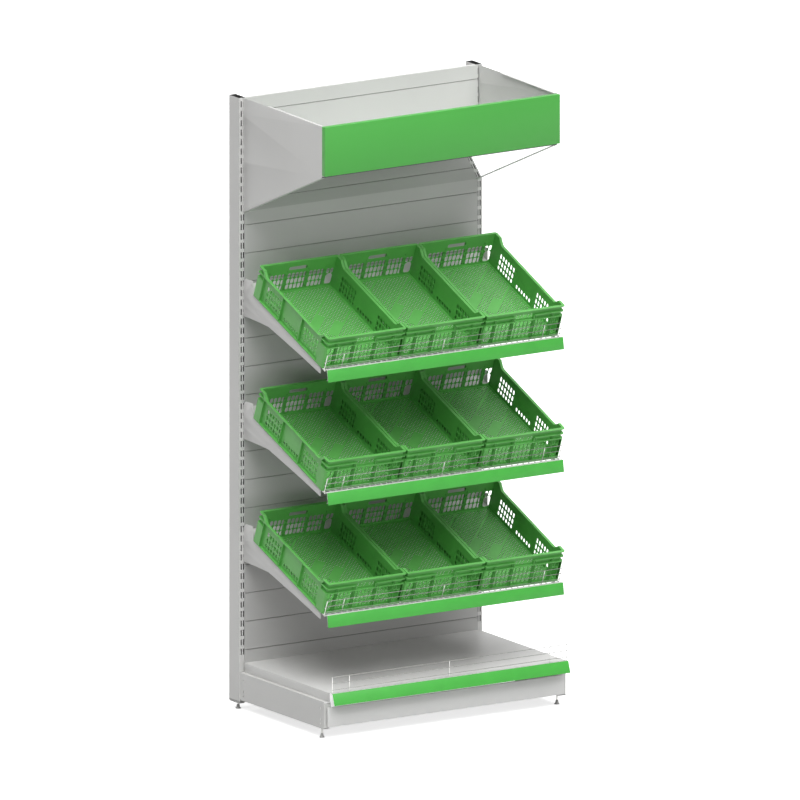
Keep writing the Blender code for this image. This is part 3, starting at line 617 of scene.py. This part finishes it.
def ribAt(x, y, acrossX, top, bottom=None, wide=None):
    c = crate
    half = (wide or c["ribWide"]) / 2
    deep = c["overhang"] + c["draft"] + c["footSink"]
    bottom = bottom or c["foot"] - c["join"]
    if acrossX:    # on an end wall
        low = (x - half, min(y, y - math.copysign(deep, y)), bottom)
        high = (x + half, max(y, y - math.copysign(deep, y)), top)
    else:
        low = (min(x, x - math.copysign(deep, x)), y - half, bottom)
        high = (max(x, x - math.copysign(deep, x)), y + half, top)
    rib = addBox("rib", low, high)
    editOn(rib, edges=lambda a, b: abs(a.z - b.z) > 0.01)
    bpy.ops.mesh.bevel(offset=c["ribRound"], segments=2, affect="EDGES")
    editOff()
    return rib


def crateRibs():
    c = crate
    ribs = []
    low = c["height"] - c["rimDrop"] - c["rim"] + c["join"]
    band = c["bandTop"] - c["ledge"] + c["join"]
    x, y = c["width"] / 2 - c["skin"], c["length"] / 2 - c["skin"]
    cheek = c["holdWide"] / 2 + c["cheekOff"]
    sideEdge = c["length"] / 2 - c["sidePost"] + c["ribWide"] / 2
    for side in (-1, 1):
        for along in c["sideRibs"]:
            ribs.append(ribAt(side * x, along, False, low))
        for along in (-sideEdge, sideEdge):
            ribs.append(ribAt(side * x, along, False, low))
        for across in c["endRibs"]:
            for step in (-c["pairApart"] / 2, c["pairApart"] / 2):
                ribs.append(ribAt(across + step, side * y, True, low, wide=c["pairWide"]))
        for across in (-cheek, cheek):
            ribs.append(ribAt(across, side * y, True, low, band))    # beside the hand-hold
    return ribs


# Edges of the bars and slots of one floor cell, from its middle line to the next
def stripLines(half, slots, slotSize):
    bars = (crate["cell"] - 2 * half - slots * slotSize) / (slots - 1)
    edges = [half]
    for number in range(slots):
        edges.append(edges[-1] + slotSize)
        if number < slots - 1:
            edges.append(edges[-1] + bars)
    return edges


def crateFloor():
    c = crate
    across = stripLines(c["bandHalf"], c["slotsAcross"], c["floorSlotWide"])
    along = stripLines(c["lineHalf"], c["slotsAlong"], c["floorSlotLong"])
    cells = 3
    lines = []
    for edges in (across, along):
        row = []
        for cell in range(-cells, cells):
            row += [(cell + 0.5) * c["cell"] + edge for edge in edges]
        lines.append(row)
    columns, rows = lines
    clearSelection()
    bpy.ops.mesh.primitive_grid_add(
        x_subdivisions=len(columns) - 1, y_subdivisions=len(rows) - 1, size=2
    )
    floor = newest("crate floor")
    for vertex in floor.data.vertices:
        column = round((vertex.co.x + 1) / 2 * (len(columns) - 1))
        row = round((vertex.co.y + 1) / 2 * (len(rows) - 1))
        vertex.co.x = columns[column]
        vertex.co.y = rows[row]
    floor.data.update()

    def isSlot(face):
        corners = [floor.data.vertices[i].co for i in face.vertices]
        wide = max(co.x for co in corners) - min(co.x for co in corners)
        long = max(co.y for co in corners) - min(co.y for co in corners)
        x, y = abs(face.center.x), abs(face.center.y)
        if max(x, y) < c["cell"] / 2 and x > c["openMiddle"]:    # plain sides of the middle field
            return False
        missed = max(abs(wide - c["floorSlotWide"]), abs(long - c["floorSlotLong"]))
        return missed < 0.0003

    editOn(floor, faces=isSlot)
    bpy.ops.mesh.delete(type="FACE")
    editOff()
    floor.rotation_euler = (0, 0, -math.pi / 4)
    makeActive(floor)
    bpy.ops.object.transform_apply(location=True, rotation=True, scale=True)
    edgeX = c["width"] / 2 - c["overhang"] - c["draft"] - c["wall"]
    edgeY = c["length"] / 2 - c["overhang"] - c["draft"] - c["wall"]
    reachX = edgeX - c["floorEdge"] + 2 * c["floorPast"]
    reachY = edgeY - c["floorEdge"] + 2 * c["floorPast"]
    for place, normal in (
        ((reachX, 0, 0), (1, 0, 0)), ((-reachX, 0, 0), (-1, 0, 0)),
        ((0, reachY, 0), (0, 1, 0)), ((0, -reachY, 0), (0, -1, 0)),
    ):
        editOn(floor, points=lambda co: True)
        bpy.ops.mesh.bisect(plane_co=place, plane_no=normal, clear_outer=True)
        editOff()
    sheet = floor.modifiers.new("sheet", "SOLIDIFY")
    sheet.thickness = c["floor"] - c["floorThinner"]
    sheet.offset = 1
    applyAll(floor)
    top = c["floorUnder"] + c["floor"] - c["floorThinner"] / 2
    floor.data.transform(Matrix.Translation((0, 0, top - meshBox(floor)[1].z)))
    outX, outY = edgeX + c["floorPast"], edgeY + c["floorPast"]
    border = addBox(
        "border", (-outX, -outY, c["floorUnder"]), (outX, outY, c["floorUnder"] + c["floor"])
    )
    editOn(border, faces=lambda face: abs(face.normal.z) > 0.9)
    bpy.ops.mesh.inset(thickness=c["floorEdge"] + c["floorPast"])
    bpy.ops.mesh.bridge_edge_loops()
    editOff()
    return [floor, border]


def makeCrate():
    pieces = [crateWalls(), crateRim(), *crateLedges(), cratePosts(), *crateRibs(), *crateFloor()]
    whole = joined("crate pattern", pieces)
    whole.data.transform(Matrix.Rotation(math.radians(crate["tilt"]), 4, "X"))
    return smoothed(whole, 32)


crateNodes = sorted(node for node in nodes if node.startswith("crate_"))
pattern = makeCrate()
print("crate pattern:", len(pattern.data.polygons), "faces")
for node in crateNodes:
    piece = twin(pattern, f"{node}_moulding")
    seatOn(piece, node)
    takeOver(piece, node, finishes["crate_green"])
bpy.data.objects.remove(pattern, do_unlink=True)
print("crates placed:", len(crateNodes))


# Wire guards
guard = {
    "wire": 0.0034, "rail": 0.0026, "weld": 0.0004, "sides": 12,
    "postLift": 0.0003, "roundEnd": 0.0005,
    "postsAt": (-0.619, -0.529, 0.0, 0.529, 0.619), "rails": (0.017, 0.046, 0.075),
}


def makeGuard(heights, tilt):
    g = guard
    ahead = -((g["wire"] + g["rail"]) / 2 - g["weld"])
    end = g["postsAt"][-1] + g["wire"] / 2
    pieces = []
    for height in heights:
        ends = (-end, ahead, height), (end, ahead, height)
        pieces.append(addRod("rail", g["rail"] / 2, *ends, g["sides"]))
    for x in g["postsAt"]:
        ends = (x, 0, g["postLift"]), (x, 0, heights[-1])
        pieces.append(addRod("post", g["wire"] / 2, *ends, g["sides"]))
    for number, piece in enumerate(pieces):
        editOn(piece, faces=lambda face: len(face.vertices) > 4)
        bpy.ops.mesh.bevel(offset=g["roundEnd"], segments=2, affect="EDGES")
        editOff()
        litShare = piece.data.attributes.new("litShare", "FLOAT", "POINT")   # posts catch more light
        for item in litShare.data:
            item.value = 0.0 if number < len(heights) else 1.0
    whole = joined("guard pattern", pieces)
    whole.data.transform(Matrix.Rotation(math.radians(tilt), 4, "X"))
    return smoothed(whole, 40)


for node in sorted(node for node in nodes if "wire_guard" in node):
    onBase = node.startswith("base")
    piece = makeGuard(guard["rails"], 0 if onBase else crate["tilt"])
    piece.name = f"{node}_wires"
    piece.data.name = piece.name
    seatOn(piece, node)
    takeOver(piece, node, finishes["bright_wire"])
print("guards made")


# Sheet metal with softened edges
softEdges = {
    "shelf_tray": (0.0005, "paint"), "ticket_strip": (0.0005, "strip_green"),
    "base_ticket_strip": (0.0005, "strip_green"), "canopy_fascia": (0.0006, "fascia_green"),
    "shelf_bracket": (0.0005, "paint"), "kick_panel": (0.0005, "paint"),
    "base_deck": (0.0006, "paint"), "canopy_side": (0.0005, "paint"),
}
trayHoles = {
    "long": 0.0240, "wide": 0.0074, "round": 0.0025, "pitch": 0.0300, "count": 41,
    "behindPosts": 0.0056, "wire": 0.0036, "cutDeep": 0.004,
}


# The row of slots along a shelf's front, behind the wire guard's posts
def pierceFront(piece, guardNode, degrees):
    h = trayHoles
    low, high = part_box(guardNode)
    lean = math.radians(degrees)
    along = h["behindPosts"] - h["wire"] / 2
    y = high.y + along * math.cos(lean)
    z = low.z + (along + h["wire"]) * math.sin(lean)
    cutters = []
    for number in range(h["count"]):
        x = (number - (h["count"] - 1) / 2) * h["pitch"]
        half = Vector((h["long"] / 2, h["wide"] / 2, h["cutDeep"]))
        slot = addBox("slot", Vector((x, 0, 0)) - half, Vector((x, 0, 0)) + half)
        editOn(slot, edges=lambda a, b: abs(a.z - b.z) > 0.001)
        bpy.ops.mesh.bevel(offset=h["round"], segments=2, affect="EDGES")
        editOff()
        cutters.append(slot)
    row = joined("slot row", cutters)
    row.data.transform(Matrix.Translation((0, y, z)) @ Matrix.Rotation(lean, 4, "X"))
    return cutWith(piece, row)


earHole = {"radius": 0.0029, "y": 0.2727, "topShelf": 1.9545, "shelfPitch": 0.5616, "sides": 20}


# The hole through a bracket's raised ear
def pierceEar(piece, node):
    h = earHole
    shelf = int(node.split("_")[2]) - 1
    z = h["topShelf"] - shelf * h["shelfPitch"]
    low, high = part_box(node)
    ends = (low.x - past, h["y"], z), (high.x + past, h["y"], z)
    return cutWith(piece, addRod("ear hole", h["radius"], *ends, h["sides"]))


for node in sorted(nodes):
    for start, (width, slot) in softEdges.items():
        if node.startswith(start):
            piece = softened(node, width)
            if start == "shelf_bracket":
                piece = smoothed(pierceEar(piece, node), 40)
            if start == "shelf_tray":
                piece = smoothed(pierceFront(piece, "wire_guard_" + node[-1], crate["tilt"]), 40)
            if start == "base_deck":
                piece = smoothed(pierceFront(piece, "base_wire_guard", 0), 40)
            # the kick panel gets the paler copy of the paint as painted light
            takeOver(piece, node, finishes["kickLitPaint" if start == "kick_panel" else slot])
print("sheet metal softened")


# Levelling feet
foot = {
    "sides": 40, "thread": 0.0015, "core": 0.0033, "turns": 33, "stepsPerTurn": 20,
    "ridge": ((0.0031, 0.0003), (0.0040, 0.00085), (0.0031, 0.0014)),    # radius, height
    "coreSides": 24, "padRadius": 0.0125,
    "padSteps": (    # radius, height
        (0.0125, 0.0026), (0.0119, 0.0032), (0.0085, 0.0060),
        (0.0072, 0.0105), (0.0065, 0.0184), (0.0060, 0.0190),
    ),
}


def makePad():
    clearSelection()
    radius, height = foot["padRadius"], 0.0
    bpy.ops.mesh.primitive_circle_add(vertices=foot["sides"], radius=radius, fill_type="NGON")
    pad = newest("pad pattern")
    for nextRadius, nextHeight in foot["padSteps"]:
        editOn(pad, faces=lambda face: face.center.z > height - 0.0001 and len(face.vertices) > 4)
        rise = {"value": (0, 0, nextHeight - height)}
        bpy.ops.mesh.extrude_region_move(TRANSFORM_OT_translate=rise)
        factor = nextRadius / radius
        bpy.ops.transform.resize(value=(factor, factor, 1), center_override=(0, 0, 0))
        editOff()
        radius, height = nextRadius, nextHeight
    editOn(pad, faces=lambda face: True)
    bpy.ops.mesh.normals_make_consistent(inside=False)
    editOff()
    return smoothed(pad, 40)


def makeStud(low, high):
    f = foot
    core = addRod("core", f["core"], (0, 0, low), (0, 0, high), f["coreSides"])
    clearSelection()
    bpy.ops.mesh.primitive_circle_add(vertices=3, radius=f["core"])
    ridge = newest("ridge")
    for vertex, (radius, height) in zip(ridge.data.vertices, f["ridge"]):
        vertex.co = (radius, 0, low + height)
    helix = ridge.modifiers.new("thread", "SCREW")
    helix.angle = math.tau * f["turns"]
    helix.screw_offset = f["thread"] * f["turns"]
    helix.steps = helix.render_steps = f["stepsPerTurn"] * f["turns"]
    helix.use_normal_calculate = True
    applyAll(ridge)
    editOn(ridge, points=lambda co: True)
    bpy.ops.mesh.select_all(action="DESELECT")
    bpy.ops.mesh.select_non_manifold()
    bpy.ops.mesh.fill_holes(sides=4)
    bpy.ops.mesh.select_all(action="SELECT")
    bpy.ops.mesh.normals_make_consistent(inside=False)
    editOff()
    return smoothed(joined("stud pattern", [core, ridge]), 25)


padPattern = makePad()
studLow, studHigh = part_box("foot_stud_front_left")
studPattern = makeStud(0.0, studHigh.z - studLow.z)
for node in sorted(nodes):
    if node.startswith("foot_"):
        isPad = node.startswith("foot_pad")
        piece = twin(padPattern if isPad else studPattern, f"{node}_finished")
        low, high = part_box(node)
        spot = ((low.x + high.x) / 2, (low.y + high.y) / 2, low.z)
        piece.data.transform(Matrix.Translation(spot))
        slot = "foot_plastic" if isPad else "zinc"
        takeOver(piece, node, finishes[slot])
bpy.data.objects.remove(padPattern, do_unlink=True)
bpy.data.objects.remove(studPattern, do_unlink=True)
print("feet made")


# Finishes of the parts that stay as they are
# the paler panel behind the canopy carries painted light, the other panels painted shade
staying = {   # the first that fits; the panels behind the canopy are the paler ones
    "back_panels_7": "panelLit",
    "upright_cap": "foot_plastic", "upright": "tubePaintShadedInside", "tie_rail": "paint",
    "back_panels": "panelShaded", "base_leg": "paint", "canopy_mirror": "mirror",
}
for node, part in nodes.items():
    if part.hide_render:
        continue
    for start, slot in staying.items():
        if node.startswith(start):
            part.data.materials.clear()
            part.data.materials.append(finishes[slot])
            break
print("finishes given")


# Floor, light and camera
studio = {
    "sky": 0.05,
    "lamps": {   # strength, angle of softness, where it comes from
        "soft key": (1.10, 50, (-0.24, -0.50, 0.79)),
        "soft front": (0.66, 60, (-0.05, -0.93, 0.36)),
        "soft top": (2.75, 80, (-0.05, -0.22, 0.97)),
    },
    "floorColour": (0.80, 0.80, 0.80), "floorGlow": 0.72, "floorBounce": 0.45, "pxPerMetre": 224.2,
    "turn": -32.38, "tip": 77.06, "middle": (-0.003, 0.008, 1.405), "photoSize": 800, "away": 12,
}


# White where the camera, a mirror or glass looks at it, so that only those rays see it
def seenRays(tree):
    path = tree.nodes.new("ShaderNodeLightPath")
    seen = path.outputs["Is Camera Ray"]
    for ray in ("Is Glossy Ray", "Is Transmission Ray"):
        most = tree.nodes.new("ShaderNodeMath")
        most.operation = "MAXIMUM"
        tree.links.new(seen, most.inputs[0])
        tree.links.new(path.outputs[ray], most.inputs[1])
        seen = most.outputs[0]
    return seen


def makeFloor():
    clearSelection()
    bpy.ops.mesh.primitive_plane_add(size=60, location=(0, 0, -0.0002))
    floor = newest("studio_floor")
    g = Graph("pale_floor")
    pale = studio["floorColour"]
    tone = g.ramp(g.noise(1.5, 2), [(0.3, shade(pale, 0.99)), (0.7, pale)])
    path = g.tree.nodes.new("ShaderNodeLightPath")
    bounce = g.node("ShaderNodeMapRange", Value=path.outputs["Is Diffuse Ray"])
    bounce.inputs["To Min"].default_value = 1.0
    bounce.inputs["To Max"].default_value = studio["floorBounce"]
    dimmed = g.scaled(tone, bounce.outputs["Result"])
    g.set(Base_Color=dimmed, Roughness=0.9, Specular_IOR_Level=0.0)
    glow = g.sum("MULTIPLY", seenRays(g.tree), studio["floorGlow"])
    g.set(Emission_Color=(1, 1, 1, 1), Emission_Strength=glow)
    floor.data.materials.append(g.material)


def makeLight():
    world = bpy.data.worlds.new("studio")
    bpy.context.scene.world = world
    world.use_nodes = True
    tree = world.node_tree
    back = tree.nodes["Background"]
    back.inputs["Color"].default_value = (1, 1, 1, 1)
    level = tree.nodes.new("ShaderNodeMapRange")
    level.inputs["To Min"].default_value = studio["sky"]
    level.inputs["To Max"].default_value = 1.0
    tree.links.new(seenRays(tree), level.inputs["Value"])
    tree.links.new(level.outputs["Result"], back.inputs["Strength"])
    for name, (strength, softness, place) in studio["lamps"].items():
        sun = bpy.data.lights.new(name, "SUN")
        sun.energy = strength
        sun.angle = math.radians(softness)
        lamp = bpy.data.objects.new(name, sun)
        lamp.rotation_euler = Vector(place).to_track_quat("Z", "Y").to_euler()
        bpy.context.scene.collection.objects.link(lamp)


def makeCamera():
    lens = bpy.data.cameras.new("camera")
    lens.type = "ORTHO"
    lens.ortho_scale = studio["photoSize"] / studio["pxPerMetre"]
    lens.clip_end = 100
    camera = bpy.data.objects.new("camera", lens)
    camera.rotation_euler = (math.radians(studio["tip"]), 0, math.radians(studio["turn"]))
    back = camera.rotation_euler.to_matrix() @ Vector((0, 0, 1))
    camera.location = Vector(studio["middle"]) + back * studio["away"]
    bpy.context.scene.collection.objects.link(camera)
    bpy.context.scene.camera = camera


makeFloor()
makeLight()
makeCamera()
bpy.context.scene.view_settings.view_transform = "Standard"
print("studio ready")
